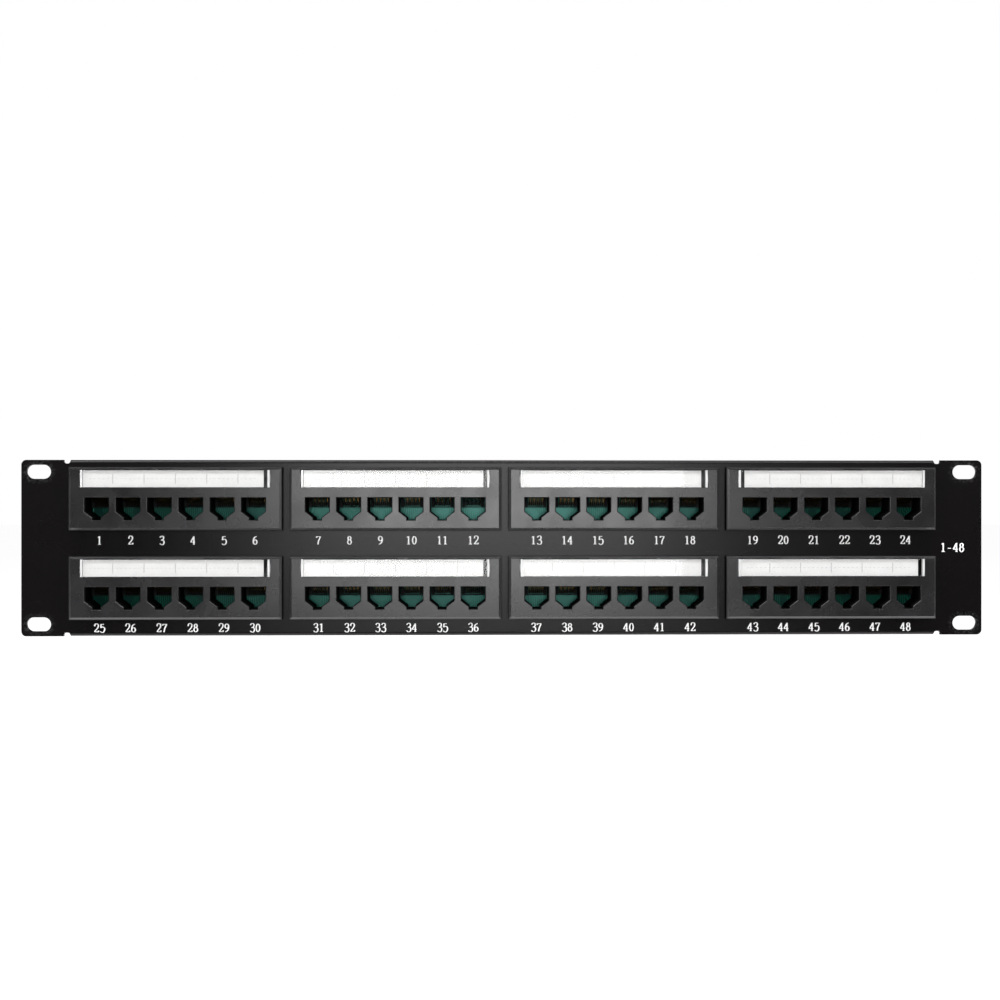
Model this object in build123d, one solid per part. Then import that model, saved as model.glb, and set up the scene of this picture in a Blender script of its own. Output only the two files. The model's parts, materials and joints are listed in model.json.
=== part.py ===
"""Rack-mount patch panel, two rack units tall, with 48 modular jacks in eight six-port modules.

Frame: +X to the right as seen from the front, +Z up, and the front faces -Y. The origin is the centre of the
four mounting slots, on the rear face of the ears, which is the face that seats on the rack's rails.
All lengths are in millimetres.
"""

from build123d import *
import os

# ---------------------------------------------------------------- driving dimensions
# How far a piece that is joined on, or a cut at an edge, runs past the face it meets
OVERLAP = 0.5

# Steel front panel, two rack units
PANEL_W = 482.6
PANEL_H = 88.1
SHEET_T = 1.5
PANEL_CORNER_R = 2.5
BEND_R = 1.8
FLANGE_W = 434.0
FLANGE_DEPTH = 12.0
RELIEF_W = 3.2
RELIEF_DEPTH = 1.8
RELIEF_R = 1.2
SLOT_SPACING_X = 465.1
SLOT_SPACING_Z = 76.2
SLOT_W = 12.0
SLOT_H = 7.0

# Module grid: four columns by two rows of six ports
COLUMNS = 4
PORTS = 6
RACK_UNIT = 44.45
MODULE_PITCH = 109.2
PORT_PITCH = 15.5
TOP_ROW_Z = 24.6
CUTOUT_W = 101.0
CUTOUT_H = 27.0
CUTOUT_R = 1.0

# Jack bezel, the moulding that holds six ports
BEZEL_W = 105.6
BEZEL_H = 31.5
BEZEL_CHAMFER = 1.3
FACE_Y = -7.0
BODY_W = 100.4
BODY_H = 26.4
BOARD_Y = 8.0
FRONT_WALL = 2.2
PORT_TOP_Z = 0.5
PORT_HALF_W = 5.9
PORT_BODY_H = 6.8
NOTCH_HALF_W = 2.0
NOTCH_SHOULDER_H = 9.8
NOTCH_H = 11.0
PORT_CHAMFER = 0.45
# Share of the chamfer by which the sloping shoulders of a port's opening move down
SHOULDER_SHARE = 0.5
TONGUE_SLOT_W = 10.5
TONGUE_SLOT_TOP_Z = 2.65
CORE_W = 96.8
CORE_BOTTOM_Z = 4.6
CORE_TOP_Z = 11.6
CORE_RIB_T = 1.2
HOOK_W = 8.0
HOOK_X = 25.0
HOOK_REACH = 1.1
HOOK_LENGTH = 3.0
HOOK_GAP = 0.05
PILOT_R = 1.0
PILOT_DEPTH = 7.5

# Label window: recess in the bezel, clear cover, paper strip
RECESS_W = 94.3
RECESS_BOTTOM_Z = 5.5
RECESS_TOP_Z = 14.4
RECESS_DEPTH = 1.9
COVER_W = 93.6
COVER_BOTTOM_Z = 5.65
COVER_TOP_Z = 14.25
COVER_FRONT_Y = -7.2
COVER_T = 1.2
COVER_EDGE_R = 0.3
COVER_LEG_T = 1.0
COVER_LEG_BACK_Y = -5.2
RETAINER_T = 0.25
RETAINER_H = 4.0
LABEL_L = 89.4
LABEL_BOTTOM_Z = 5.75
LABEL_TOP_Z = 14.15
LABEL_T = 0.25
LABEL_GAP = 0.05
# Free space at the right-hand end of each paper strip, which rests anywhere in its play
LABEL_RIGHT_GAPS = [2.1, 2.0, 2.1, 0.1, 2.1, 2.0, 2.1, 2.0]

# Circuit board
BOARD_W = 104.0
BOARD_H = 34.0
BOARD_T = 1.6
BOARD_SCREW_X = [-47.9, -15.5, 15.5, 47.9]
BOARD_SCREW_Z = 1.5
SCREW_CLEAR_R = 1.2
PIN_HOLE_R = 0.43

# Contact carrier, springs and pins of one port
CONTACTS = 8
CONTACT_PITCH = 1.02
WIRE_W = 0.45
WIRE_T = 0.35
TONGUE_W = 10.2
TONGUE_FRONT_Y = -3.9
TONGUE_BOTTOM_Z = 1.35
TONGUE_TOP_Z = 2.5
CARRIER_W = 11.2
CARRIER_FRONT_Y = 5.3
CARRIER_BOTTOM_Z = -4.4
CARRIER_TOP_Z = 0.4
COMB_SLOT_W = 0.68
COMB_SLOT_BOTTOM_Z = -4.0
WIRE_TOP_Z = 1.28
HINGE_Y = -3.2
HINGE_Z = 0.75
BEND_OUTER_R = 0.28
PIN_START_Y = -2.95
PIN_DROP_Y = 7.3
PIN_LOW_Z = -1.5
PIN_TAIL = 0.9
SPRING_KNEE = (3.8, -1.6)
SPRING_TIP = (6.2, -3.2)

# Insulation-displacement block: eight wire slots in a comb, with a forked clip in each
IDC_COLUMNS = 3
IDC_PITCH_X = 33.6
IDC_ROW_Z = 10.8
IDC_L = 31.4
IDC_BASE_H = 11.8
IDC_BASE_D = 4.4
IDC_BASE_CHAMFER = 0.8
IDC_END_INSET = 0.4
IDC_WALL_H = 7.6
IDC_SLOT_PITCH = 3.6
IDC_SLOT_W = 1.15
IDC_TALL_D = 14.0
IDC_SHORT_D = 12.4
IDC_SLOT_FLOOR_D = 6.2
IDC_TIP_W = 0.7
IDC_TIP_LEAD = 1.6
IDC_POINT_D = 2.4
IDC_POINT_INSET = 1.5
CLIP_W = 2.5
CLIP_T = 0.5
CLIP_TOP_D = 11.6
CLIP_POCKET_CLEAR = 0.12
CLIP_SLIT_W = 0.3
CLIP_SLIT_L = 5.5
CLIP_LEAD_IN = 0.6
CLIP_FOOT_D = 1.0
CLIP_TAIL_W = 0.5
CLIP_HOLE_R = 0.45

# Board screw, a small pan head
SCREW_HEAD_R = 2.0
SCREW_HEAD_H = 1.5
SCREW_HEAD_EDGE_R = 0.7
SCREW_SHANK_R = 0.95
SCREW_LENGTH = 8.0
CROSS_L = 2.4
CROSS_W = 0.5
CROSS_DEPTH = 0.8

BOARD_BACK_Y = BOARD_Y + BOARD_T


# ---------------------------------------------------------------- helpers
def block(x0, x1, y0, y1, z0, z1):
    """Box between two corners."""
    centre = Pos((x0 + x1) / 2, (y0 + y1) / 2, (z0 + z1) / 2)
    return centre * Box(x1 - x0, y1 - y0, z1 - z0)


def prism_x(points, width, x=0.0):
    """Outline of (y, z) points, extruded along X and centred on x."""
    face = make_face(Plane.YZ * Polyline(*points, close=True))
    return Pos(x, 0, 0) * extrude(face, amount=width / 2, both=True)


def prism_y(points, y0, y1):
    """Outline of (x, z) points, extruded along Y from y0 to y1."""
    face = make_face(Plane.XZ * Polyline(*points, close=True))
    return Pos(0, y1, 0) * extrude(face, amount=y1 - y0, dir=(0, -1, 0))


def rod_y(radius, x, z, y0, y1):
    """Round bar along Y."""
    return Pos(x, (y0 + y1) / 2, z) * Rot(90, 0, 0) * Cylinder(radius, y1 - y0)


def port_x(port):
    """Centre of a port within its module."""
    return (port - (PORTS - 1) / 2) * PORT_PITCH


def contact_x(contact):
    """Centre of a contact within its port."""
    return (contact - (CONTACTS - 1) / 2) * CONTACT_PITCH


def idc_slot_x(slot):
    """Centre of a wire slot within its block."""
    return (slot - (CONTACTS - 1) / 2) * IDC_SLOT_PITCH


def idc_centres():
    """Centre of each punch-down block on the back of its module: three in each of two rows."""
    columns = [(column - (IDC_COLUMNS - 1) / 2) * IDC_PITCH_X for column in range(IDC_COLUMNS)]
    return [(x, side * IDC_ROW_Z) for side in (1, -1) for x in columns]


def module_places():
    """Number and place of each module, left to right along the top row, then along the bottom row."""
    places = []
    for row in range(2):
        for column in range(COLUMNS):
            x = (column - (COLUMNS - 1) / 2) * MODULE_PITCH
            z = TOP_ROW_Z - row * RACK_UNIT
            places.append((row * COLUMNS + column + 1, Pos(x, 0, z)))
    return places


# ---------------------------------------------------------------- front panel
def relief_notch(x, side):
    """Bend relief at one end of a flange, with a rounded bottom; side is 1 at the top, -1 at the bottom."""
    edge_z = side * PANEL_H / 2
    low, high = sorted((edge_z - side * RELIEF_DEPTH, edge_z + side * RELIEF_DEPTH))
    slot = block(x - RELIEF_W / 2, x + RELIEF_W / 2, -SHEET_T, 0, low, high)
    return fillet(slot.edges().filter_by(Axis.Y), RELIEF_R)


def flange(side):
    """Stiffening flange, bent back from the top or bottom edge of the panel with a round bend."""
    outer = side * PANEL_H / 2
    inner = outer - side * SHEET_T
    root = outer - side * 2 * BEND_R
    back = FLANGE_DEPTH - SHEET_T
    angle = prism_x(
        [(-SHEET_T, root), (-SHEET_T, outer), (back, outer), (back, inner), (0, inner), (0, root)],
        FLANGE_W,
    )
    along = angle.edges().filter_by(Axis.X)
    outside = along.sort_by_distance(Vector(0, -SHEET_T, outer))[0]
    inside = along.sort_by_distance(Vector(0, 0, inner))[0]
    return fillet(inside, BEND_R - SHEET_T).fillet(BEND_R, [outside])


def front_panel():
    """Steel sheet with two ears, four mounting slots, eight module cut-outs and two flanges."""
    corner_z = PANEL_H / 2
    face = block(-PANEL_W / 2, PANEL_W / 2, -SHEET_T, 0, -corner_z, corner_z)
    face = fillet(face.edges().filter_by(Axis.Y), PANEL_CORNER_R)
    for side in (-1, 1):
        low, high = sorted((side * (corner_z - 2 * BEND_R), side * (corner_z + OVERLAP)))
        face -= block(-FLANGE_W / 2, FLANGE_W / 2, -SHEET_T, 0, low, high)
        face += flange(side)
        for end in (-1, 1):
            face -= relief_notch(end * (FLANGE_W + RELIEF_W) / 2, side)
            x = end * SLOT_SPACING_X / 2
            z = side * SLOT_SPACING_Z / 2
            half = (SLOT_W - SLOT_H) / 2
            face -= block(x - half, x + half, -SHEET_T, 0, z - SLOT_H / 2, z + SLOT_H / 2)
            face -= rod_y(SLOT_H / 2, x - half, z, -SHEET_T, 0)
            face -= rod_y(SLOT_H / 2, x + half, z, -SHEET_T, 0)
    window = block(-CUTOUT_W / 2, CUTOUT_W / 2, -SHEET_T, 0, -CUTOUT_H / 2, CUTOUT_H / 2)
    window = fillet(window.edges().filter_by(Axis.Y), CUTOUT_R)
    for _, place in module_places():
        face -= place * window
    return face


# ---------------------------------------------------------------- jack bezel
def port_outline(grow=0.0):
    """Outline of a jack's opening: square shoulders for the plug, narrowing to the latch's notch below."""
    top = PORT_TOP_Z + grow
    half = PORT_HALF_W + grow
    notch = NOTCH_HALF_W + grow
    body = PORT_TOP_Z - PORT_BODY_H - grow * SHOULDER_SHARE
    shoulder = PORT_TOP_Z - NOTCH_SHOULDER_H - grow * SHOULDER_SHARE
    bottom = PORT_TOP_Z - NOTCH_H - grow
    right = [(notch, bottom), (notch, shoulder), (half, body), (half, top)]
    left = [(-x, z) for x, z in reversed(right)]
    return right + left


def port_cutter():
    """Everything that is cut out of the bezel for one port."""
    cavity = prism_y(port_outline(), FACE_Y, BOARD_Y)
    mouth = make_face(Plane.XZ.offset(-FACE_Y) * Polyline(*port_outline(PORT_CHAMFER), close=True))
    throat = make_face(Plane.XZ.offset(-FACE_Y - PORT_CHAMFER) * Polyline(*port_outline(), close=True))
    funnel = loft([mouth, throat], ruled=True)
    half = TONGUE_SLOT_W / 2
    low = PORT_TOP_Z - OVERLAP
    tongue_slot = block(-half, half, FACE_Y + FRONT_WALL, BOARD_Y, low, TONGUE_SLOT_TOP_Z)
    return cavity + funnel + tongue_slot


def snap_hook(side):
    """Wedge that catches behind the sheet once the bezel is pushed in."""
    root = side * BODY_H / 2
    inside = root - side * OVERLAP
    tip = root + side * HOOK_REACH
    outline = [(HOOK_GAP, inside), (HOOK_GAP, tip), (HOOK_LENGTH, root), (HOOK_LENGTH, inside)]
    return prism_x(outline, HOOK_W)


def jack_bezel():
    """Moulding of one module: bevelled face, body through the cut-out, six jack cavities, label recess."""
    half_w = BEZEL_W / 2
    half_h = BEZEL_H / 2
    plate = block(-half_w, half_w, FACE_Y, -SHEET_T, -half_h, half_h)
    plate = chamfer(plate.faces().sort_by(Axis.Y)[0].edges(), BEZEL_CHAMFER)
    body = block(-BODY_W / 2, BODY_W / 2, -SHEET_T - OVERLAP, BOARD_Y, -BODY_H / 2, BODY_H / 2)
    bezel = plate + body
    for side in (-1, 1):
        for end in (-1, 1):
            bezel += Pos(end * HOOK_X, 0, 0) * snap_hook(side)
    bezel -= block(
        -RECESS_W / 2, RECESS_W / 2, FACE_Y, FACE_Y + RECESS_DEPTH, RECESS_BOTTOM_Z, RECESS_TOP_Z
    )
    core = block(-CORE_W / 2, CORE_W / 2, -SHEET_T, BOARD_Y, CORE_BOTTOM_Z, CORE_TOP_Z)
    for x in (-PORT_PITCH, PORT_PITCH):
        core -= block(
            x - CORE_RIB_T / 2, x + CORE_RIB_T / 2, -SHEET_T, BOARD_Y, CORE_BOTTOM_Z, CORE_TOP_Z
        )
    bezel -= core
    cutter = port_cutter()
    for port in range(PORTS):
        bezel -= Pos(port_x(port), 0, 0) * cutter
    for x in BOARD_SCREW_X:
        bezel -= rod_y(PILOT_R, x, BOARD_SCREW_Z, BOARD_Y - PILOT_DEPTH, BOARD_Y)
    return bezel


# ---------------------------------------------------------------- label window
def label_cover():
    """Clear snap-in window with a leg at each end and a retaining rib on each leg."""
    half = COVER_W / 2
    back = COVER_FRONT_Y + COVER_T
    cover = block(-half, half, COVER_FRONT_Y, back, COVER_BOTTOM_Z, COVER_TOP_Z)
    cover = fillet(cover.faces().sort_by(Axis.Y)[0].edges(), COVER_EDGE_R)
    mid_z = (COVER_BOTTOM_Z + COVER_TOP_Z) / 2
    for end in (-1, 1):
        inner, outer = sorted((end * (half - COVER_LEG_T), end * half))
        cover += block(inner, outer, back, COVER_LEG_BACK_Y, COVER_BOTTOM_Z, COVER_TOP_Z)
        inner, outer = sorted((end * half, end * (half + RETAINER_T)))
        low, high = mid_z - RETAINER_H / 2, mid_z + RETAINER_H / 2
        cover += block(inner, outer, back, COVER_LEG_BACK_Y, low, high)
    return cover


def label_strip(right_gap):
    """Paper strip behind the clear cover, pushed against one end or the other."""
    right = COVER_W / 2 - COVER_LEG_T - right_gap
    front = COVER_FRONT_Y + COVER_T + LABEL_GAP
    return block(right - LABEL_L, right, front, front + LABEL_T, LABEL_BOTTOM_Z, LABEL_TOP_Z)


# ---------------------------------------------------------------- circuit board
def pin_z(contact):
    """Height of a contact's hole in the board: alternate contacts go to an upper and a lower row."""
    return WIRE_TOP_Z - WIRE_T / 2 if contact % 2 == 0 else PIN_LOW_Z


def circuit_board():
    """Board of one module, drilled for its screws and for the pins of its six ports."""
    board = block(-BOARD_W / 2, BOARD_W / 2, BOARD_Y, BOARD_BACK_Y, -BOARD_H / 2, BOARD_H / 2)
    holes = [rod_y(SCREW_CLEAR_R, x, BOARD_SCREW_Z, BOARD_Y, BOARD_BACK_Y) for x in BOARD_SCREW_X]
    for port in range(PORTS):
        for contact in range(CONTACTS):
            x = port_x(port) + contact_x(contact)
            holes.append(rod_y(PIN_HOLE_R, x, pin_z(contact), BOARD_Y, BOARD_BACK_Y))
    for x, z in idc_centres():
        for slot in range(CONTACTS):
            holes.append(rod_y(CLIP_HOLE_R, x + idc_slot_x(slot), z, BOARD_Y, BOARD_BACK_Y))
    return board - holes


# ---------------------------------------------------------------- contacts of one port
def contact_carrier():
    """Insert of one port: a tongue over the plug, and a comb at the back for the contacts' free ends."""
    tongue = block(
        -TONGUE_W / 2, TONGUE_W / 2, TONGUE_FRONT_Y, BOARD_Y, TONGUE_BOTTOM_Z, TONGUE_TOP_Z
    )
    half = CARRIER_W / 2
    comb = block(-half, half, CARRIER_FRONT_Y, BOARD_Y, CARRIER_BOTTOM_Z, CARRIER_TOP_Z)
    neck = block(
        -TONGUE_W / 2, TONGUE_W / 2, CARRIER_FRONT_Y, BOARD_Y, CARRIER_TOP_Z - OVERLAP, TONGUE_TOP_Z
    )
    carrier = tongue + comb + neck
    half = COMB_SLOT_W / 2
    slot = block(-half, half, CARRIER_FRONT_Y, BOARD_Y, COMB_SLOT_BOTTOM_Z, TONGUE_BOTTOM_Z)
    return carrier - [Pos(contact_x(contact), 0, 0) * slot for contact in range(CONTACTS)]


def contact_pin(contact):
    """Fixed part of a contact wire: along the tongue, down if its row is the lower one, out of the board."""
    top = WIRE_TOP_Z
    low = top - WIRE_T
    front = PIN_START_Y
    back = BOARD_BACK_Y + PIN_TAIL
    if contact % 2 == 0:
        outline = [(front, low), (back, low), (back, top), (front, top)]
    else:
        drop_top = PIN_LOW_Z + WIRE_T / 2
        drop_low = PIN_LOW_Z - WIRE_T / 2
        outline = [
            (front, low),
            (PIN_DROP_Y, low),
            (PIN_DROP_Y, drop_low),
            (back, drop_low),
            (back, drop_top),
            (PIN_DROP_Y + WIRE_T, drop_top),
            (PIN_DROP_Y + WIRE_T, top),
            (front, top),
        ]
    return prism_x(outline, WIRE_W, contact_x(contact))


def contact_spring(contact):
    """Springing arm of a contact wire, which turns about the round bend at the front of the tongue."""
    hinge = Vector(HINGE_Y, HINGE_Z)
    knee = Vector(*SPRING_KNEE)
    tip = Vector(*SPRING_TIP)
    along = (knee - hinge).normalized()
    up = Vector(-along.Y, along.X)
    half = Vector(0, WIRE_T / 2)
    lower = hinge - up * BEND_OUTER_R
    upper = lower + up * WIRE_T
    outline = [(p.X, p.Y) for p in (lower, knee - half, tip - half, tip + half, knee + half, upper)]
    arm = prism_x(outline, WIRE_W)
    bend = Pos(0, HINGE_Y, HINGE_Z) * Rot(0, 90, 0) * Cylinder(BEND_OUTER_R, WIRE_W)
    return Pos(contact_x(contact), 0, 0) * (arm + bend)


# ---------------------------------------------------------------- insulation-displacement blocks
def tooth(x0, x1, depth):
    """One finger of the comb, with its tip pointed across the block and bevelled along it."""
    base_y = BOARD_BACK_Y + IDC_BASE_D - OVERLAP
    tip_y = BOARD_BACK_Y + depth
    half = IDC_WALL_H / 2
    point = half - IDC_POINT_INSET
    outline = [
        (base_y, -half),
        (tip_y - IDC_POINT_D, -half),
        (tip_y, -point),
        (tip_y, point),
        (tip_y - IDC_POINT_D, half),
        (base_y, half),
    ]
    finger = prism_x(outline, x1 - x0, (x0 + x1) / 2)
    lead = (x1 - x0 - IDC_TIP_W) / 2
    for side, edge in ((1, x0), (-1, x1)):
        wedge = [(edge, tip_y), (edge, tip_y - IDC_TIP_LEAD), (edge + side * lead, tip_y)]
        finger -= extrude(make_face(Polyline(*wedge, close=True)), amount=half, both=True)
    return finger


def idc_block():
    """Punch-down block for one port, standing on the back of the board."""
    half_l = IDC_L / 2
    half_h = IDC_BASE_H / 2
    base_top = BOARD_BACK_Y + IDC_BASE_D
    base = block(-half_l, half_l, BOARD_BACK_Y, base_top, -half_h, half_h)
    base = chamfer(base.faces().sort_by(Axis.Y)[-1].edges(), IDC_BASE_CHAMFER)
    end = half_l - IDC_END_INSET
    wall = block(
        -end,
        end,
        base_top - OVERLAP,
        BOARD_BACK_Y + IDC_SLOT_FLOOR_D,
        -IDC_WALL_H / 2,
        IDC_WALL_H / 2,
    )
    comb = base + wall
    edges = [-end]
    for slot in range(CONTACTS):
        edges += [idc_slot_x(slot) - IDC_SLOT_W / 2, idc_slot_x(slot) + IDC_SLOT_W / 2]
    edges.append(end)
    for index in range(CONTACTS + 1):
        depth = IDC_TALL_D if index % 2 == 0 else IDC_SHORT_D
        comb += tooth(edges[2 * index], edges[2 * index + 1], depth)
    half_w = CLIP_W / 2 + CLIP_POCKET_CLEAR
    half_t = CLIP_T / 2 + CLIP_POCKET_CLEAR
    pocket_top = BOARD_BACK_Y + CLIP_TOP_D + CLIP_POCKET_CLEAR
    pocket = block(-half_w, half_w, BOARD_BACK_Y, pocket_top, -half_t, half_t)
    return comb - [Pos(idc_slot_x(slot), 0, 0) * pocket for slot in range(CONTACTS)]


def idc_clip():
    """Forked metal clip: a blade whose slit grips the wire, a lead-in at its mouth, a tail in the board."""
    half = CLIP_W / 2
    slit = CLIP_SLIT_W / 2
    tail = CLIP_TAIL_W / 2
    foot = BOARD_BACK_Y + CLIP_FOOT_D
    top = BOARD_BACK_Y + CLIP_TOP_D
    right = [
        (tail, BOARD_Y),
        (tail, foot),
        (half, foot),
        (half, top),
        (slit + CLIP_LEAD_IN, top),
        (slit, top - 2 * CLIP_LEAD_IN),
        (slit, top - CLIP_SLIT_L),
    ]
    outline = right + [(-x, y) for x, y in reversed(right)]
    return extrude(make_face(Polyline(*outline, close=True)), amount=CLIP_T / 2, both=True)


# ---------------------------------------------------------------- screws
def board_screw():
    """Pan-head screw that holds a board to its bezel, with a cross recess."""
    head = rod_y(SCREW_HEAD_R, 0, 0, BOARD_BACK_Y, BOARD_BACK_Y + SCREW_HEAD_H)
    head = fillet(head.faces().sort_by(Axis.Y)[-1].edges(), SCREW_HEAD_EDGE_R)
    shank = rod_y(SCREW_SHANK_R, 0, 0, BOARD_BACK_Y - SCREW_LENGTH, BOARD_BACK_Y)
    top = BOARD_BACK_Y + SCREW_HEAD_H
    long, wide = CROSS_L / 2, CROSS_W / 2
    cross = block(-long, long, top - CROSS_DEPTH, top, -wide, wide)
    cross += block(-wide, wide, top - CROSS_DEPTH, top, -long, long)
    return head + shank - cross


# ---------------------------------------------------------------- write the nodes
def save(name, solids):
    """One STEP file per node; a node of several solids is written as a group."""
    shape = solids[0] if len(solids) == 1 else Compound(children=list(solids))
    export_step(shape, f"parts/{name}.step")


def solids_at(place, shape):
    """The shape's solids, moved to their place."""
    return (place * shape).solids()


def main():
    os.makedirs("parts", exist_ok=True)
    save("front_panel", front_panel().solids())
    bezel = jack_bezel()
    cover = label_cover()
    board = circuit_board()
    carrier = contact_carrier()
    pins = [contact_pin(contact) for contact in range(CONTACTS)]
    springs = [contact_spring(contact) for contact in range(CONTACTS)]
    comb = idc_block()
    clip = idc_clip()
    screw = board_screw()
    all_pins, all_clips, all_screws = [], [], []
    for number, place in module_places():
        ports = [place * Pos(port_x(port), 0, 0) for port in range(PORTS)]
        blocks = [place * Pos(x, 0, z) for x, z in idc_centres()]
        slots = [spot * Pos(idc_slot_x(slot), 0, 0) for spot in blocks for slot in range(CONTACTS)]
        save(f"jack_bezel_{number}", solids_at(place, bezel))
        save(f"label_cover_{number}", solids_at(place, cover))
        save(f"label_strip_{number}", solids_at(place, label_strip(LABEL_RIGHT_GAPS[number - 1])))
        save(f"circuit_board_{number}", solids_at(place, board))
        save(f"contact_carriers_{number}", [s for spot in ports for s in solids_at(spot, carrier)])
        save(
            f"contact_springs_{number}",
            [s for spot in ports for spring in springs for s in solids_at(spot, spring)],
        )
        save(f"idc_blocks_{number}", [s for spot in blocks for s in solids_at(spot, comb)])
        all_pins += [s for spot in ports for pin in pins for s in solids_at(spot, pin)]
        all_clips += [s for spot in slots for s in solids_at(spot, clip)]
        for x in BOARD_SCREW_X:
            all_screws += solids_at(place * Pos(x, 0, BOARD_SCREW_Z), screw)
    save("contact_pins", all_pins)
    save("idc_clips", all_clips)
    save("board_screws", all_screws)


main()
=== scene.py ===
"""Looks of the rack patch panel: materials, printing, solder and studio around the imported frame.

Lengths are in metres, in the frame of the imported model: +X right, +Z up, the front faces -Y.
"""

import json
import math

import bmesh
import bpy
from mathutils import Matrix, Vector


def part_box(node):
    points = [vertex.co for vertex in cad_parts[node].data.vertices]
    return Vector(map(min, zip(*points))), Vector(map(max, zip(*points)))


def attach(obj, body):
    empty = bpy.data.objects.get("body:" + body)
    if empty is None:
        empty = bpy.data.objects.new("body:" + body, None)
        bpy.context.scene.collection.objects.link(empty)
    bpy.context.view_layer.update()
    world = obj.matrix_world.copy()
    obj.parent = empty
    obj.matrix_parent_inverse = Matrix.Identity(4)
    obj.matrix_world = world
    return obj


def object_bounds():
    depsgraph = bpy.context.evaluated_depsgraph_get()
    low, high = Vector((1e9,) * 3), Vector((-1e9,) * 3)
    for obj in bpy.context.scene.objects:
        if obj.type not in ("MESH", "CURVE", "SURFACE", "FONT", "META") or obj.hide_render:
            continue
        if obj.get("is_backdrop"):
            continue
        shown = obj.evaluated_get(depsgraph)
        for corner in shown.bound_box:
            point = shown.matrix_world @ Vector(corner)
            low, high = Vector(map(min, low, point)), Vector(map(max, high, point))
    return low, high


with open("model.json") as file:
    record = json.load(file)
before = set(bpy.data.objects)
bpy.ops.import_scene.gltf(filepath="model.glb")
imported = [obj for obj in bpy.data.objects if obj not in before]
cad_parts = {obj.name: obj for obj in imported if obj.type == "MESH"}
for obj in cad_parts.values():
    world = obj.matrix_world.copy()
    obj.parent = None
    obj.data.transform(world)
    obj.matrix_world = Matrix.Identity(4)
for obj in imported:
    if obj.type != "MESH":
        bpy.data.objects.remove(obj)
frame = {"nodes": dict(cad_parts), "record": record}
cad_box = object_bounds()

MM = 0.001
MODULES = range(1, 9)
PORTS_PER_MODULE = 6
CONTACTS = 8
NODES = frame["nodes"]
MOUNTS = {mount["name"]: Vector(mount["pos_m"]) for mount in frame["record"]["mounts"]}

# Distances between the repeats of the object
MODULE_PITCH = 109.2 * MM
RACK_UNIT = 44.45 * MM
TOP_ROW_Z = 24.6 * MM
CONTACT_PITCH = 1.02 * MM
IDC_SLOT_PITCH = 3.6 * MM

# Half the spacing of the rack slots, and half the straight part of one slot
SLOT_X = 465.1 * MM / 2
SLOT_Z = 76.2 * MM / 2
SLOT_STRAIGHT = 2.5 * MM
# Distance from a slot's middle line over which rubbed paint fades out
RUB_START = 4.0 * MM
RUB_END = 6.2 * MM

# Box round the six jacks of a bezel: half its width and height, and its middle's drop below the row's line
JACKS_HALF_W = 46.5 * MM
JACKS_HALF_H = 6.9 * MM
JACKS_DROP = 5.3 * MM
# Depths behind the bezel's face at which painted shade sets in: first on the walls of a jack, then on all
# walls, where the colour goes near black and the sheen is taken away
JACK_WALL_SHADE = (0.06 * MM, 0.30 * MM)
INNER_WALL_SHADE = (0.6 * MM, 1.6 * MM)

# Distances from the line between two modules at which a label cover's milky end leg has faded out, and
# at which it starts to fade
LEG_REACH = (9.0 * MM, 8.7 * MM)


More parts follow.
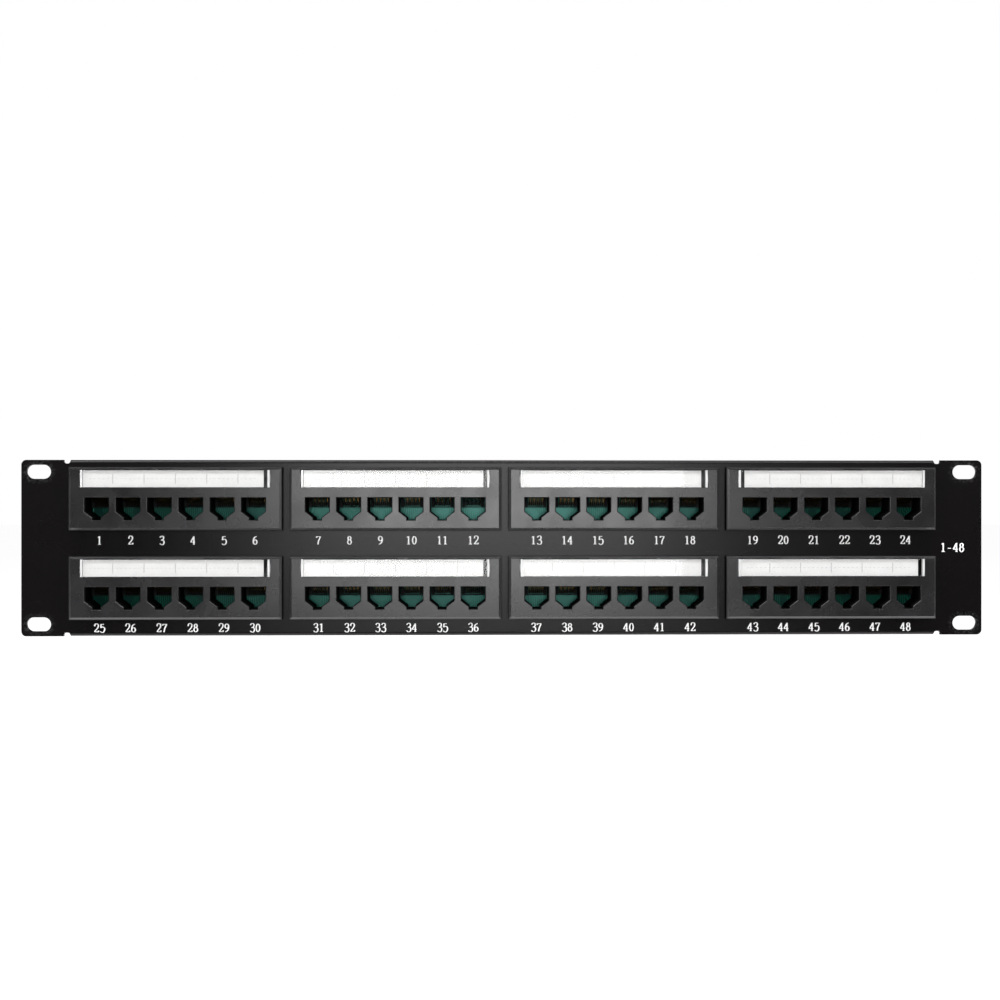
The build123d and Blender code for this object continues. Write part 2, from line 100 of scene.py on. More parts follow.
# ---------------------------------------------------------------- node helpers
class Shader:
    """A node material under construction, with short ways to add the nodes it needs."""

    def __init__(self, name, **inputs):
        self.material = bpy.data.materials.new(name)
        self.material.use_nodes = True
        self.tree = self.material.node_tree
        self.bsdf = self.tree.nodes["Principled BSDF"]
        self.output = self.tree.nodes["Material Output"]
        for key, value in inputs.items():
            self.bsdf.inputs[key.replace("_", " ")].default_value = value
        coordinates = self.tree.nodes.new("ShaderNodeTexCoord")
        self.place = coordinates.outputs["Object"]

    def add(self, kind, inputs=None, **settings):
        """A new node, with its settings and its inputs, given as values or as sockets to link."""
        node = self.tree.nodes.new(kind)
        for key, value in settings.items():
            setattr(node, key, value)
        for key, value in (inputs or {}).items():
            self.link(value, node.inputs[key])
        return node

    def link(self, value, socket):
        if isinstance(value, bpy.types.NodeSocket):
            self.tree.links.new(value, socket)
        else:
            socket.default_value = value

    def math(self, operation, *values):
        node = self.add("ShaderNodeMath", operation=operation)
        for index, value in enumerate(values):
            self.link(value, node.inputs[index])
        return node.outputs[0]

    def axis(self, name):
        """One coordinate of the point being shaded."""
        return self.add("ShaderNodeSeparateXYZ", {"Vector": self.place}).outputs[name]

    def noise(self, scale, detail=2.0, roughness=0.5, stretch=(1, 1, 1), distortion=0.0):
        mapping = self.add("ShaderNodeMapping", {"Vector": self.place, "Scale": stretch})
        inputs = {
            "Vector": mapping.outputs[0],
            "Scale": scale,
            "Detail": detail,
            "Roughness": roughness,
            "Distortion": distortion,
        }
        return self.add("ShaderNodeTexNoise", inputs).outputs["Fac"]

    def cells(self, scale, feature="F1", stretch=(1, 1, 1), output="Distance"):
        mapping = self.add("ShaderNodeMapping", {"Vector": self.place, "Scale": stretch})
        inputs = {"Vector": mapping.outputs[0], "Scale": scale}
        return self.add("ShaderNodeTexVoronoi", inputs, feature=feature).outputs[output]

    def remap(self, value, low, high, to_low=0.0, to_high=1.0):
        """The value carried from one range to another, held at its ends."""
        inputs = {"Value": value, "From Min": low, "From Max": high, "To Min": to_low, "To Max": to_high}
        return self.add("ShaderNodeMapRange", inputs, clamp=True).outputs[0]

    def mix(self, factor, first, second):
        node = self.add("ShaderNodeMix", data_type="RGBA")
        self.link(factor, node.inputs["Factor"])
        self.link(first, node.inputs[6])
        self.link(second, node.inputs[7])
        return node.outputs[2]

    def colour(self, socket):
        self.link(socket, self.bsdf.inputs["Base Color"])

    def roughness(self, socket):
        self.link(socket, self.bsdf.inputs["Roughness"])

    def bump(self, height, depth, strength=1.0):
        """Relief of the given depth in metres; a second call adds to the first."""
        inputs = {"Height": height, "Distance": depth, "Strength": strength}
        if self.bsdf.inputs["Normal"].is_linked:
            inputs["Normal"] = self.bsdf.inputs["Normal"].links[0].from_socket
        node = self.add("ShaderNodeBump", inputs)
        self.link(node.outputs[0], self.bsdf.inputs["Normal"])


def grey(value, tint=(1.0, 1.0, 1.0)):
    return (value * tint[0], value * tint[1], value * tint[2], 1.0)


# ---------------------------------------------------------------- materials
def powder_coat():
    """Satin black powder coat: orange peel, fine speckle, and paint rubbed bright round the rack slots."""
    s = Shader("black_powder_coat", Specular_IOR_Level=0.21)
    speckle = s.noise(2600, detail=3)
    cloud = s.noise(9, detail=3)
    base = s.mix(s.remap(speckle, 0.35, 0.7), grey(0.0015, (1.1, 0.85, 1)), grey(0.0032, (1.1, 0.88, 1)))
    slot = MOUNTS["rack_holes"]
    beside = s.math("SUBTRACT", s.math("ABSOLUTE", s.math("SUBTRACT", s.axis("X"), slot.x)), SLOT_X)
    above = s.math("SUBTRACT", s.math("ABSOLUTE", s.math("SUBTRACT", s.axis("Z"), slot.z)), SLOT_Z)
    beyond = s.math("MAXIMUM", s.math("SUBTRACT", s.math("ABSOLUTE", beside), SLOT_STRAIGHT), 0.0)
    around = s.math("SQRT", s.math("ADD", s.math("POWER", beyond, 2.0), s.math("POWER", above, 2.0)))
    ring = s.remap(around, RUB_END, RUB_START)
    rubbed = s.math("MULTIPLY", ring, s.remap(s.noise(700, detail=4), 0.45, 0.75))
    scuff = s.remap(s.noise(60, detail=5, stretch=(1, 1, 9), distortion=1.5), 0.70, 0.80)
    worn = s.math("MAXIMUM", s.math("MULTIPLY", rubbed, 0.8), s.math("MULTIPLY", scuff, 0.35))
    s.colour(s.mix(worn, base, grey(0.040)))
    s.roughness(s.math("ADD", s.remap(cloud, 0.3, 0.7, 0.25, 0.30), s.math("MULTIPLY", worn, 0.12)))
    s.bump(s.noise(1300, detail=2), 0.00004, 0.4)
    s.bump(speckle, 0.00001, 0.4)
    return s.material


def moulded_plastic(name, dark, light, rough, grain=3200, depth=0.00003, sheen=0.5, face_y=None):
    """Moulded plastic: a fine spark-eroded grain, cloudy tone and slightly polished patches.

    Behind face_y, on the walls of the jacks and the body, painted shade turns the colour near black and takes
    away the sheen, and the surface is rougher.
    """
    s = Shader(name, Specular_IOR_Level=sheen)
    cloud = s.noise(22, detail=4, distortion=0.4)
    fine = s.noise(grain, detail=3, roughness=0.6)
    tone = s.math("ADD", s.math("MULTIPLY", cloud, 0.7), s.math("MULTIPLY", fine, 0.3))
    colour = s.mix(s.remap(tone, 0.38, 0.62), dark, light)
    if face_y is not None:
        half_step = MODULE_PITCH / 2
        half_row = RACK_UNIT / 2
        across = s.math("WRAP", s.math("SUBTRACT", s.axis("X"), half_step), half_step, -half_step)
        above = s.math("WRAP", s.math("SUBTRACT", s.axis("Z"), TOP_ROW_Z), half_row, -half_row)
        beside = s.math("SUBTRACT", s.math("ABSOLUTE", across), JACKS_HALF_W)
        level = s.math("SUBTRACT", s.math("ABSOLUTE", s.math("ADD", above, JACKS_DROP)), JACKS_HALF_H)
        in_port = s.math("LESS_THAN", s.math("MAXIMUM", beside, level), 0.0)
        edge, inner_wall_shade = (
            s.remap(s.axis("Y"), face_y + depths[0], face_y + depths[1]) for depths in (JACK_WALL_SHADE, INNER_WALL_SHADE)
        )
        painted_shade = s.math("MAXIMUM", s.math("MULTIPLY", edge, in_port), inner_wall_shade)
        # Painted shade: the walls of the jacks and the walls further back are darkened to near black and lose
        # their sheen
        colour = s.mix(painted_shade, colour, grey(0.002))
        s.link(s.remap(painted_shade, 0.0, 1.0, sheen, 0.03), s.bsdf.inputs["Specular IOR Level"])
    s.colour(colour)
    patchy = s.remap(s.noise(70, detail=3), 0.3, 0.7, rough - 0.05, rough + 0.06)
    if face_y is not None:
        patchy = s.math("ADD", patchy, s.math("MULTIPLY", painted_shade, 0.55))
    s.roughness(patchy)
    s.bump(fine, depth, 0.5)
    s.bump(s.cells(grain * 0.45), depth, 0.25)
    return s.material


def block_plastic():
    """Off-white moulded nylon, a little translucent, yellowed unevenly, with a fine grain."""
    s = Shader("white_block_plastic", Subsurface_Weight=0.08, Subsurface_Scale=0.0008)
    s.bsdf.inputs["Subsurface Radius"].default_value = (1.0, 0.85, 0.65)
    cloud = s.noise(45, detail=4)
    fine = s.noise(3000, detail=3)
    s.colour(s.mix(s.remap(cloud, 0.35, 0.65), (0.60, 0.59, 0.545, 1), (0.50, 0.49, 0.445, 1)))
    s.roughness(s.remap(cloud, 0.3, 0.7, 0.34, 0.46))
    s.bump(fine, 0.00002, 0.5)
    return s.material


def clear_cover():
    """Thin clear window: light passes straight on, with a faint haze, fine scratches and frosted end legs."""
    s = Shader("clear_window")
    scratch = s.remap(s.noise(240, detail=5, stretch=(1, 1, 14), distortion=0.6), 0.62, 0.70)
    polish = s.remap(scratch, 0, 1, 0.04, 0.25)
    gloss = s.add("ShaderNodeBsdfGlossy", {"Color": grey(1.0), "Roughness": polish})
    clear = s.add("ShaderNodeBsdfTransparent", {"Color": (0.975, 0.975, 0.972, 1)})
    fresnel = s.add("ShaderNodeFresnel", {"IOR": 1.49})
    share = s.math("ADD", s.math("MULTIPLY", fresnel.outputs[0], 0.35), s.math("MULTIPLY", scratch, 0.02))
    window = s.add("ShaderNodeMixShader", {"Fac": share, 1: clear.outputs[0], 2: gloss.outputs[0]})
    haze = s.add("ShaderNodeBsdfDiffuse", {"Color": grey(0.9)})
    repeat = s.math("PINGPONG", s.math("ADD", s.axis("X"), MODULE_PITCH * 2), MODULE_PITCH / 2)
    leg = s.remap(repeat, *LEG_REACH)
    milky = s.math("ADD", s.math("MULTIPLY", leg, 0.45), s.remap(s.noise(90, detail=3), 0.4, 0.7, 0.0, 0.03))
    whole = s.add("ShaderNodeMixShader", {"Fac": milky, 1: window.outputs[0], 2: haze.outputs[0]})
    s.link(whole.outputs[0], s.output.inputs["Surface"])
    s.tree.nodes.remove(s.bsdf)
    return s.material


def label_card():
    """White card with faint fibres."""
    s = Shader("label_card", Roughness=0.8)
    fibre = s.noise(1800, detail=5, stretch=(1, 1, 3), distortion=1.2)
    s.colour(s.mix(s.remap(fibre, 0.35, 0.65), grey(0.69), grey(0.74)))
    s.bump(fibre, 0.00002, 0.4)
    return s.material


def solder_mask():
    """Green solder mask over copper tracks at contact pitch, with the laminate's weave under it."""
    s = Shader("green_board", Specular_IOR_Level=0.42, Specular_Tint=(0.35, 1.0, 0.86, 1.0))
    shift = s.math("MULTIPLY", s.math("SUBTRACT", s.cells(55, output="Distance"), 0.5), 0.004)
    across = s.math("ADD", s.axis("X"), s.remap(s.noise(70, detail=0), 0.45, 0.55, -0.0006, 0.0006))
    track = s.math("PINGPONG", s.math("ADD", across, 1.0), CONTACT_PITCH / 2)
    line = s.remap(track, 0.00016, 0.00020, 1.0, 0.0)
    present = s.remap(s.math("ADD", s.noise(95, detail=1), shift), 0.47, 0.49)
    copper = s.math("MULTIPLY", line, present)
    weave = s.math(
        "MULTIPLY",
        s.math("SINE", s.math("MULTIPLY", s.axis("X"), 9000)),
        s.math("SINE", s.math("MULTIPLY", s.axis("Z"), 9000)),
    )
    mask = s.mix(s.noise(30, detail=2), (0.001, 0.013, 0.009, 1), (0.001, 0.022, 0.015, 1))
    s.colour(s.mix(copper, mask, (0.004, 0.070, 0.040, 1)))
    s.roughness(s.remap(s.noise(50, detail=2), 0.3, 0.7, 0.20, 0.28))
    s.bump(copper, 0.00004, 0.8)
    s.bump(weave, 0.00001, 0.3)
    return s.material


def metal(name, dark, light, rough, grain=900, stretch=(1, 1, 1)):
    """Plated metal with a fine brushed or drawn grain and slightly uneven tarnish."""
    s = Shader(name, Metallic=1.0)
    drawn = s.noise(grain, detail=4, stretch=stretch)
    tarnish = s.noise(60, detail=3)
    s.colour(s.mix(s.remap(tarnish, 0.35, 0.7), light, dark))
    s.roughness(s.remap(drawn, 0.3, 0.7, rough - 0.07, rough + 0.1))
    s.bump(drawn, 0.00001, 0.35)
    return s.material


def ink(name, colour, rough=0.45):
    """Screen-printed ink, a little thin in places."""
    s = Shader(name)
    thin = s.noise(2400, detail=3)
    faded = tuple(channel * 0.82 for channel in colour[:3]) + (1.0,)
    s.colour(s.mix(s.remap(thin, 0.4, 0.62), faded, colour))
    s.roughness(s.remap(thin, 0.3, 0.7, rough - 0.05, rough + 0.05))
    s.bump(thin, 0.00001, 0.4)
    return s.material


def dress(node_names, material):
    """Gives CAD nodes a material."""
    for name in node_names:
        slots = NODES[name].material_slots
        for slot in slots:
            slot.material = material


def soften(node_names, width, segments=2):
    """Rounds the sharp edges of CAD nodes by a little, as moulding, plating and paint do."""
    for name in node_names:
        bevel = NODES[name].modifiers.new("edge_rounding", "BEVEL")
        bevel.width = width
        bevel.segments = segments
        bevel.limit_method = "ANGLE"
        bevel.angle_limit = math.radians(35)
        bevel.harden_normals = True
        bevel.use_clamp_overlap = True


def per_module(stem):
    return [f"{stem}_{number}" for number in MODULES]


def dress_frame():
    """Materials and edge rounding of the CAD nodes."""
    dress(["front_panel"], powder_coat())
    tint = (1, 0.97, 1.03)
    face_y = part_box("jack_bezel_1")[0][1]
    bezel = moulded_plastic("charcoal_bezel", grey(0.007, tint), grey(0.013, tint), 0.26, face_y=face_y)
    dress(per_module("jack_bezel"), bezel)
    carrier = moulded_plastic("black_carrier", grey(0.003), grey(0.006), 0.50, sheen=0.06)
    dress(per_module("contact_carriers"), carrier)
    dress(per_module("idc_blocks"), block_plastic())
    dress(per_module("label_cover"), clear_cover())
    dress(per_module("label_strip"), label_card())
    dress(per_module("circuit_board"), solder_mask())
    # Gold plating, painted far darker than real gold as painted shade for the springs inside the jacks; the
    # pins on the back share this darkened gold
    gold = metal("gold_plating_with_painted_shade", (0.17, 0.10, 0.035, 1), (0.28, 0.17, 0.06, 1), 0.34, stretch=(6, 1, 6))
    dress(per_module("contact_springs") + ["contact_pins"], gold)
    dress(["idc_clips"], metal("tin_plating", grey(0.55), grey(0.78, (1, 0.99, 0.96)), 0.30))
    zinc = metal("zinc_plating", (0.48, 0.50, 0.55, 1), (0.74, 0.74, 0.72, 1), 0.28, grain=1500)
    dress(["board_screws"], zinc)
    soften(["front_panel"], 0.20 * MM)
    soften(per_module("jack_bezel"), 0.18 * MM)
    soften(per_module("idc_blocks"), 0.10 * MM)
    soften(per_module("circuit_board"), 0.08 * MM, segments=1)


# ---------------------------------------------------------------- meshes
def piece(name, vertices, faces, materials, face_materials=None, body="panel"):
    """A mesh object in the row's frame, riding on a body."""
    mesh = bpy.data.meshes.new(name)
    mesh.from_pydata([tuple(v) for v in vertices], [], faces)
    for material in materials:
        mesh.materials.append(material)
    if face_materials:
        mesh.polygons.foreach_set("material_index", face_materials)
    tidy = bmesh.new()
    tidy.from_mesh(mesh)
    bmesh.ops.recalc_face_normals(tidy, faces=tidy.faces)
    tidy.to_mesh(mesh)
    tidy.free()
    made = bpy.data.objects.new(name, mesh)
    bpy.context.scene.collection.objects.link(made)
    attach(made, body)
    return made


def add_box(vertices, faces, low, high):
    """Adds a box to a mesh under construction."""
    start = len(vertices)
    for x in (low[0], high[0]):
        for y in (low[1], high[1]):
            for z in (low[2], high[2]):
                vertices.append((x, y, z))
    for quad in ((0, 1, 3, 2), (4, 6, 7, 5), (0, 4, 5, 1), (2, 3, 7, 6), (0, 2, 6, 4), (1, 5, 7, 3)):
        faces.append([start + index for index in quad])


def add_ribbon(vertices, faces, points, widths, front, back, place):
    """Adds a flat inked stroke of varying width. place turns (x, z, y) of the glyph into the row's frame."""
    start = len(vertices)
    count = len(points)
    for index, (x, z) in enumerate(points):
        before = points[max(index - 1, 0)]
        after = points[min(index + 1, count - 1)]
        along = Vector((after[0] - before[0], after[1] - before[1])).normalized()
        side = Vector((-along.y, along.x)) * widths[index]
        for depth in (front, back):
            vertices.append(place(x + side.x, z + side.y, depth))
            vertices.append(place(x - side.x, z - side.y, depth))
    for index in range(count - 1):
        a = start + 4 * index
        b = a + 4
        faces += [[a, a + 1, b + 1, b], [a + 2, b + 2, b + 3, a + 3]]
        faces += [[a, b, b + 2, a + 2], [a + 1, a + 3, b + 3, b + 1]]
    end = start + 4 * (count - 1)
    faces += [[start, start + 2, start + 3, start + 1], [end, end + 1, end + 3, end + 2]]


# ---------------------------------------------------------------- numerals
# Each numeral is a few strokes in a box 0.6 wide and 1 tall. A line is straight between its points. A curve
# is smooth and only passes near its inner points. An oval is (centre x, centre z, half width, half height).
GLYPH_W = 0.6
TWO_BOWL = [(0.08, 0.72), (0.10, 1.02), (0.36, 1.06), (0.56, 0.92), (0.50, 0.58), (0.26, 0.30), (0.08, 0.05)]
FIVE_BOWL = [
    (0.12, 0.54),
    (0.28, 0.68),
    (0.56, 0.60),
    (0.60, 0.20),
    (0.40, -0.06),
    (0.18, -0.02),
    (0.06, 0.10),
]
GLYPHS = {
    "0": [("oval", (0.30, 0.50, 0.22, 0.47))],
    "1": [
        ("line", [(0.31, 1.0), (0.31, 0.03)]),
        ("line", [(0.12, 0.86), (0.31, 0.97)]),
        ("line", [(0.13, 0.03), (0.49, 0.03)]),
    ],
    "2": [
        ("curve", TWO_BOWL),
        ("line", [(0.06, 0.05), (0.54, 0.05)]),
        ("line", [(0.54, 0.03), (0.57, 0.20)]),
    ],
    "3": [
        ("curve", [(0.09, 0.84), (0.20, 1.06), (0.54, 1.00), (0.52, 0.66), (0.38, 0.55), (0.22, 0.54)]),
        ("curve", [(0.22, 0.54), (0.46, 0.54), (0.60, 0.38), (0.54, 0.00), (0.22, -0.05), (0.07, 0.12)]),
    ],
    "4": [
        ("line", [(0.42, 1.0), (0.42, 0.03)]),
        ("line", [(0.42, 0.98), (0.04, 0.29)]),
        ("line", [(0.03, 0.29), (0.58, 0.29)]),
        ("line", [(0.30, 0.03), (0.54, 0.03)]),
    ],
    "5": [
        ("line", [(0.15, 0.96), (0.50, 0.96)]),
        ("line", [(0.16, 0.98), (0.12, 0.54)]),
        ("curve", FIVE_BOWL),
    ],
    "6": [
        ("curve", [(0.49, 0.98), (0.24, 0.90), (0.09, 0.60), (0.085, 0.29)]),
        ("oval", (0.31, 0.29, 0.22, 0.27)),
    ],
    "7": [
        ("line", [(0.07, 0.95), (0.55, 0.95)]),
        ("line", [(0.08, 0.97), (0.06, 0.80)]),
        ("curve", [(0.54, 0.95), (0.38, 0.60), (0.27, 0.34), (0.23, 0.0)]),
    ],
    "8": [("oval", (0.30, 0.76, 0.17, 0.21)), ("oval", (0.30, 0.29, 0.22, 0.27))],
    "-": [("line", [(0.12, 0.40), (0.48, 0.40)])],
}


def turned(kind, shape):
    """A stroke turned by half a turn about the middle of its box."""
    if kind == "oval":
        x, z, half_width, half_height = shape
        return (GLYPH_W - x, 1.0 - z, half_width, half_height)
    return [(GLYPH_W - x, 1.0 - z) for x, z in shape]


GLYPHS["9"] = [(kind, turned(kind, shape)) for kind, shape in GLYPHS["6"]]
GLYPH_ADVANCE = 0.71
PEN_THICK = 0.080
PEN_THIN = 0.038
CURVE_STEPS = 18
# Each stroke of a text lies this share of the ink's thickness above the stroke before it
STROKE_RISE = 0.06


def curve_points(controls):
    """Points along a smooth quadratic B-spline that starts and ends at its first and last control point."""
    knots = [controls[0]]
    for first, second in zip(controls[1:-1], controls[2:-1]):
        knots.append(((first[0] + second[0]) / 2, (first[1] + second[1]) / 2))
    knots.append(controls[-1])
    points = [controls[0]]
    steps = max(3, CURVE_STEPS // (len(knots) - 1))
    for index, middle in enumerate(controls[1:-1]):
        start, end = knots[index], knots[index + 1]
        for step in range(1, steps + 1):
            t = step / steps
            weights = ((1 - t) ** 2, 2 * t * (1 - t), t * t)
            points.append(
                tuple(sum(w * p[axis] for w, p in zip(weights, (start, middle, end))) for axis in range(2))
            )
    return points


def stroke_points(kind, shape):
    if kind == "oval":
        x, z, half_width, half_height = shape
        turns = [2 * math.pi * step / CURVE_STEPS for step in range(CURVE_STEPS + 1)]
        return [(x + half_width * math.sin(turn), z + half_height * math.cos(turn)) for turn in turns]
    if kind == "curve":
        return curve_points(shape)
    (x0, z0), (x1, z1) = shape
    return [(x0, z0), ((x0 + x1) / 2, (z0 + z1) / 2), (x1, z1)]


def pen_widths(points):
    """Half widths of a stroke from a broad pen: thick where it runs upright, thin where it runs level."""
    widths = []
    for index in range(len(points)):
        before = points[max(index - 1, 0)]
        after = points[min(index + 1, len(points) - 1)]
        run = Vector((after[0] - before[0], after[1] - before[1])).normalized()
        widths.append(PEN_THIN + (PEN_THICK - PEN_THIN) * abs(run.y) ** 1.5)
    return widths


def add_text(vertices, faces, text, centre, height, surface, outward, raise_by=0.03 * MM, weight=1.0):
    """Adds printed numerals centred at (x, z) on a surface at y, facing -Y (outward -1) or +Y (outward 1)."""
    left = -GLYPH_ADVANCE * (len(text) - 1) / 2
    layer = 0
    for index, character in enumerate(text):
        shift = left + index * GLYPH_ADVANCE
        for kind, shape in GLYPHS[character]:
            points = stroke_points(kind, shape)
            widths = [width * weight for width in pen_widths(points)]
            layer += 1
            front = surface + outward * raise_by * (1 + STROKE_RISE * layer)

            def place(x, z, depth):
                across = (x - GLYPH_W / 2 + shift) * height * -outward
                return (centre[0] + across, depth, centre[1] + (z - 0.5) * height)

            add_ribbon(vertices, faces, points, widths, front, surface, place)


# ---------------------------------------------------------------- printing
NUMBER_HEIGHT = 4.1 * MM
NUMBER_ROW_Z = (3.8 * MM, -40.0 * MM)
RANGE_X = 226.5 * MM
RANGE_HEIGHT = 4.4 * MM
TICK_HALF_W = 0.20 * MM
TICK_HALF_H = 2.4 * MM
DASH_HALF_H = 0.10 * MM
DASH_L = 1.0 * MM
DASH_STEP = 2.2 * MM
DASH_START_GAP = 3 * MM
DASH_END_GAP = 4 * MM
LABEL_INK_T = 0.01 * MM
LEGEND_T = 0.02 * MM
LEGEND_LINE_W = 0.12 * MM
LEGEND_HALF_W = 4.6 * MM
LEGEND_BELOW = 2.45 * MM
LEGEND_ABOVE = 2.05 * MM
LEGEND_NUMBER_Z = 3.45 * MM
LEGEND_NUMBER_HEIGHT = 1.7 * MM


def ports_of(module):
    """Numbers of a module's ports."""
    first = (module - 1) * PORTS_PER_MODULE + 1
    return range(first, first + PORTS_PER_MODULE)


def print_front(white):
    """White numbers under the ports, and the range of ports at the right-hand ear."""
    sheet_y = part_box("front_panel")[0][1]
    for module in MODULES:
        vertices, faces = [], []
        row_z = NUMBER_ROW_Z[0 if module <= 4 else 1]
        for port in ports_of(module):
            x = MOUNTS[f"port_{port}"].x
            add_text(vertices, faces, str(port), (x, row_z), NUMBER_HEIGHT, sheet_y, -1)
        piece(f"port_numbers_{module}", vertices, faces, [white])
    vertices, faces = [], []
    add_text(vertices, faces, "1-48", (RANGE_X, 0.0), RANGE_HEIGHT, sheet_y, -1)
    piece("port_range", vertices, faces, [white])


def print_labels(faint):
    """Faint write-on grid on each paper strip: ticks between the ports and a dashed guide line."""
    for module in MODULES:
        low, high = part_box(f"label_strip_{module}")
        front = low[1] - LABEL_INK_T
        middle = (low[2] + high[2]) / 2
        numbers = list(ports_of(module))
        vertices, faces = [], []
        for port in numbers[:-1]:
            x = (MOUNTS[f"port_{port}"].x + MOUNTS[f"port_{port + 1}"].x) / 2
            start = (x - TICK_HALF_W, front, middle - TICK_HALF_H)
            end = (x + TICK_HALF_W, low[1], middle + TICK_HALF_H)
            add_box(vertices, faces, start, end)
        dash = low[0] + DASH_START_GAP
        while dash < high[0] - DASH_END_GAP:
            start = (dash, front, middle - DASH_HALF_H)
            end = (dash + DASH_L, low[1], middle + DASH_HALF_H)
            add_box(vertices, faces, start, end)
            dash += DASH_STEP
        piece(f"label_print_{module}", vertices, faces, [faint], body=f"label_{module}")


def print_boards(white):
    """White legend on the back of each board: a frame round each port's pins and the number of each block."""
    vertices, faces = [], []
    line = LEGEND_LINE_W
    for module in MODULES:
        low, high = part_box(f"circuit_board_{module}")
        back = high[1]
        centre_z = (low[2] + high[2]) / 2
        for port in ports_of(module):
            x = MOUNTS[f"port_{port}"].x
            left, right = x - LEGEND_HALF_W, x + LEGEND_HALF_W
            bottom, top = centre_z - LEGEND_BELOW, centre_z + LEGEND_ABOVE
            for rect in (
                (left, bottom, right, bottom + line),
                (left, top - line, right, top),
                (left, bottom, left + line, top),
                (right - line, bottom, right, top),
            ):
                low_corner = (rect[0], back, rect[1])
                high_corner = (rect[2], back + LEGEND_T, rect[3])
                add_box(vertices, faces, low_corner, high_corner)
            block = MOUNTS[f"punch_down_{port}"]
            side = 1 if block.z > centre_z else -1
            place = (block.x, centre_z + side * LEGEND_NUMBER_Z)
            height = LEGEND_NUMBER_HEIGHT
            add_text(vertices, faces, str(port), place, height, back, 1, raise_by=LEGEND_T, weight=1.15)
    piece("board_legend", vertices, faces, [white])


# ---------------------------------------------------------------- wire colours and solder
PAIR_COLOURS = {
    "blue": (0.02, 0.10, 0.52, 1.0),
    "orange": (0.85, 0.24, 0.02, 1.0),
    "green": (0.02, 0.33, 0.08, 1.0),
    "brown": (0.16, 0.06, 0.02, 1.0),
}
# Wire marks: how far the shoulder is behind the board, how far the mark's edges are from the block's middle,
# the half widths of the mark and of its stripe in mm, and its thickness
SHOULDER_D = 4.4 * MM
MARK_REACH = (3.95 * MM, 4.95 * MM)
MARK_HALF_W = 1.2
STRIPE_HALF_W = 0.4
MARK_T = 0.03 * MM
# Solder: outline of a fillet as (radius, height) in mm, its number of sides, and the two pin rows of a port
FILLET = [(0.78, 0.0), (0.72, 0.10), (0.52, 0.26), (0.38, 0.48), (0.30, 0.72), (0.20, 0.80)]
FILLET_SIDES = 10
PIN_ROWS = (1.105 * MM, -1.5 * MM)


def mark_wires():
    """Colour marks on the shoulders of the punch-down blocks: a striped and a plain one for each pair."""
    white = ink("mark_white", grey(0.85))
    inks = [white] + [ink(f"mark_{name}", colour) for name, colour in PAIR_COLOURS.items()]
    shoulder_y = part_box("circuit_board_1")[1][1] + SHOULDER_D
    vertices, faces, face_materials = [], [], []
    for number in range(1, PORTS_PER_MODULE * len(MODULES) + 1):
        block = MOUNTS[f"punch_down_{number}"]
        for wire in range(CONTACTS):
            x = block.x + (wire - (CONTACTS - 1) / 2) * IDC_SLOT_PITCH
            pair = 1 + wire // 2
            wide, narrow = MARK_HALF_W, STRIPE_HALF_W
            bands = [(-wide, wide, pair)]
            if wire % 2 == 0:
                bands = [(-wide, -narrow, 0), (-narrow, narrow, pair), (narrow, wide, 0)]
            for side in (-1, 1):
                edges = sorted(block.z + side * reach for reach in MARK_REACH)
                for start, end, colour in bands:
                    low = (x + start * MM, shoulder_y, edges[0])
                    high = (x + end * MM, shoulder_y + MARK_T, edges[1])
                    add_box(vertices, faces, low, high)
                    face_materials += [colour] * 6
    piece("wire_colour_marks", vertices, faces, inks, face_materials)


def solder_joints():
    """A small solder fillet round each pin on the back of the boards."""
    around = FILLET_SIDES
    vertices, faces = [], []
    for module in MODULES:
        low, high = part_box(f"circuit_board_{module}")
        centre_z = (low[2] + high[2]) / 2
        for port in ports_of(module):
            for contact in range(CONTACTS):
                x = MOUNTS[f"port_{port}"].x + (contact - (CONTACTS - 1) / 2) * CONTACT_PITCH
                z = centre_z + PIN_ROWS[contact % 2]
                start = len(vertices)
                for radius, height in FILLET:
                    for step in range(around):
                        turn = 2 * math.pi * step / around
                        across = radius * MM * math.cos(turn)
                        up = radius * MM * math.sin(turn)
                        vertices.append((x + across, high[1] + height * MM, z + up))
                for ring in range(len(FILLET) - 1):
                    for step in range(around):
                        a = start + ring * around + step
                        b = start + ring * around + (step + 1) % around
                        faces.append([a, b, b + around, a + around])
                faces.append([start + step for step in range(around)])
                last = start + (len(FILLET) - 1) * around
                faces.append([last + step for step in range(around)])
    solder = metal("solder", grey(0.50), grey(0.72, (1, 1, 1.02)), 0.24, grain=1200)
    made = piece("solder_joints", vertices, faces, [solder])
    for polygon in made.data.polygons:
        polygon.use_smooth = True


# ---------------------------------------------------------------- studio
FLOOR_Z = -0.20
FLOOR_SIZE = 12
# The floor begins 0.2 m in front of the panel, so that the dark steel doesn't mirror it
FLOOR_CENTRE_Y = 5.8
AMBIENT = 0.06
# Name, place, width, height and power of each light; all of them face the middle of the panel
LIGHTS = (
    ("front_soft", (0.0, -0.85, 0.10), 0.44, 0.36, 3.4),
    ("top_soft", (0.0, -0.40, 0.9), 1.5, 0.30, 18),
    ("side_soft", (-1.25, -0.55, 0.40), 0.7, None, 13),
    ("side_soft", (1.25, -0.55, 0.40), 0.7, None, 13),
    ("back_soft", (0.5, 1.1, 0.55), 0.9, None, 5),
    ("back_fill", (-0.9, 0.8, 0.25), 0.9, None, 2),
)


def area_light(name, place, size, size_y, power):
    """A soft light that faces the middle of the panel, square where size_y is None."""
    data = bpy.data.lights.new(name, "AREA")
    data.energy = power
    data.size = size
    if size_y:
        data.shape = "RECTANGLE"
        data.size_y = size_y
    lamp = bpy.data.objects.new(name, data)
    lamp.location = place
    lamp.rotation_euler = (-Vector(place)).to_track_quat("-Z", "Y").to_euler()
    bpy.context.scene.collection.objects.link(lamp)


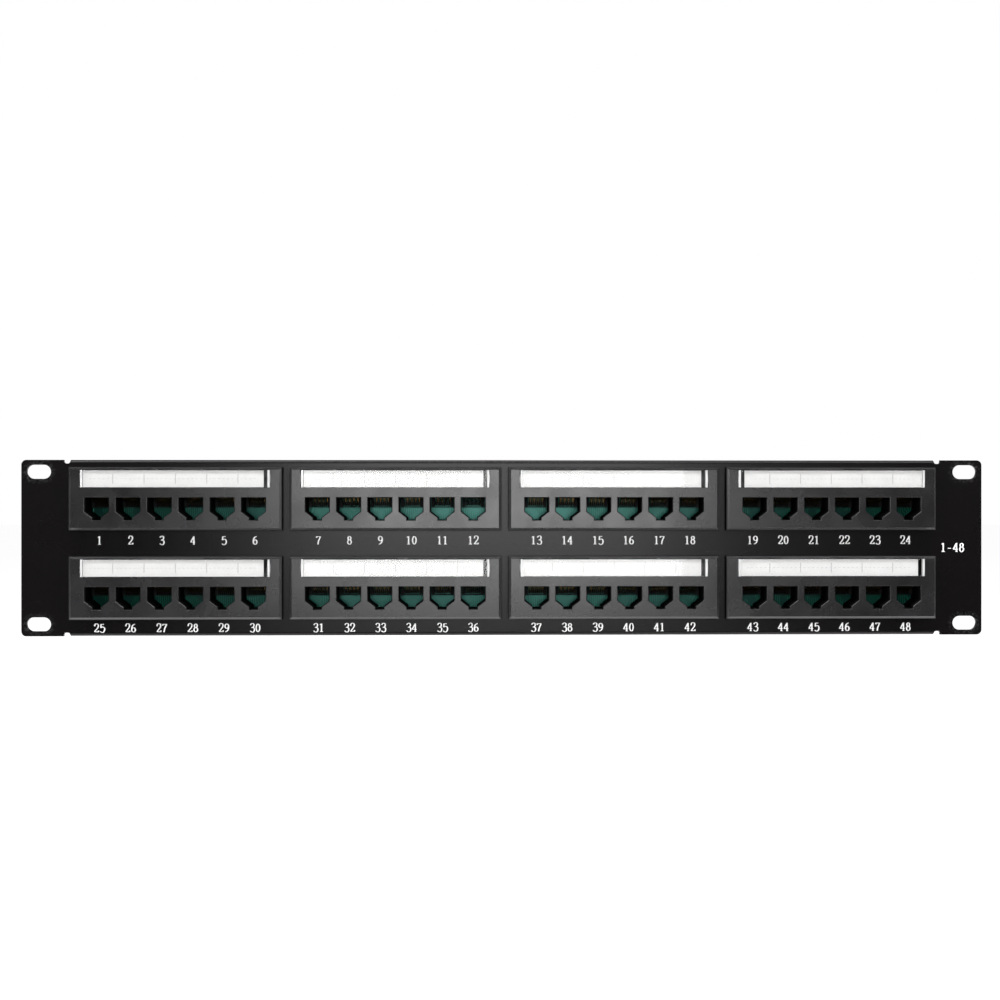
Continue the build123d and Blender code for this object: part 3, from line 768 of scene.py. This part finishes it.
def studio():
    """Pale floor, soft light from in front and above, and gentle light from behind."""
    scene = bpy.context.scene
    scene.view_settings.view_transform = "Standard"
    world = bpy.data.worlds.new("studio_world")
    world.use_nodes = True
    tree = world.node_tree
    background = tree.nodes["Background"]
    path = tree.nodes.new("ShaderNodeLightPath")
    level = tree.nodes.new("ShaderNodeMapRange")
    level.inputs["To Min"].default_value = AMBIENT
    level.inputs["To Max"].default_value = 1.0
    tree.links.new(path.outputs["Is Camera Ray"], level.inputs["Value"])
    tree.links.new(level.outputs[0], background.inputs["Strength"])
    background.inputs["Color"].default_value = grey(1.0)
    scene.world = world

    bpy.ops.mesh.primitive_plane_add(size=FLOOR_SIZE, location=(0, FLOOR_CENTRE_Y, FLOOR_Z))
    floor = bpy.context.object
    floor.name = "studio_floor"
    paper = Shader("studio_floor", Roughness=0.9)
    paper.colour(paper.mix(paper.noise(3, detail=2), grey(0.90), grey(0.93)))
    paper.bsdf.inputs["Emission Color"].default_value = grey(1.0)
    paper.bsdf.inputs["Emission Strength"].default_value = 0.92
    floor.data.materials.append(paper.material)
    floor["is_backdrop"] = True

    for light in LIGHTS:
        area_light(*light)


CAMERA_DISTANCE = 0.690
CAMERA_TURN = math.radians(1.17)
AIM = (-0.0025, 0.0240)
FRAME_WIDTH = 0.4985
SENSOR = 36.0


def camera():
    """Nearly straight-on view from a touch to the left, level with a line above the panel's middle."""
    data = bpy.data.cameras.new("camera")
    data.sensor_width = SENSOR
    data.lens = SENSOR * CAMERA_DISTANCE / FRAME_WIDTH
    data.clip_start = 0.01
    eye = bpy.data.objects.new("camera", data)
    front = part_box("jack_bezel_1")[0][1]
    across = AIM[0] - CAMERA_DISTANCE * math.sin(CAMERA_TURN)
    eye.location = (across, front - CAMERA_DISTANCE * math.cos(CAMERA_TURN), AIM[1])
    eye.rotation_euler = (math.radians(90), 0, -CAMERA_TURN)
    bpy.context.scene.collection.objects.link(eye)
    bpy.context.scene.camera = eye


def main():
    dress_frame()
    white = ink("white_ink", grey(0.88))
    print_front(white)
    print_labels(ink("pale_grey_ink", grey(0.50), 0.7))
    print_boards(white)
    mark_wires()
    solder_joints()
    studio()
    camera()


main()
[[list(corner) for corner in box] for box in (cad_box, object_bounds())]
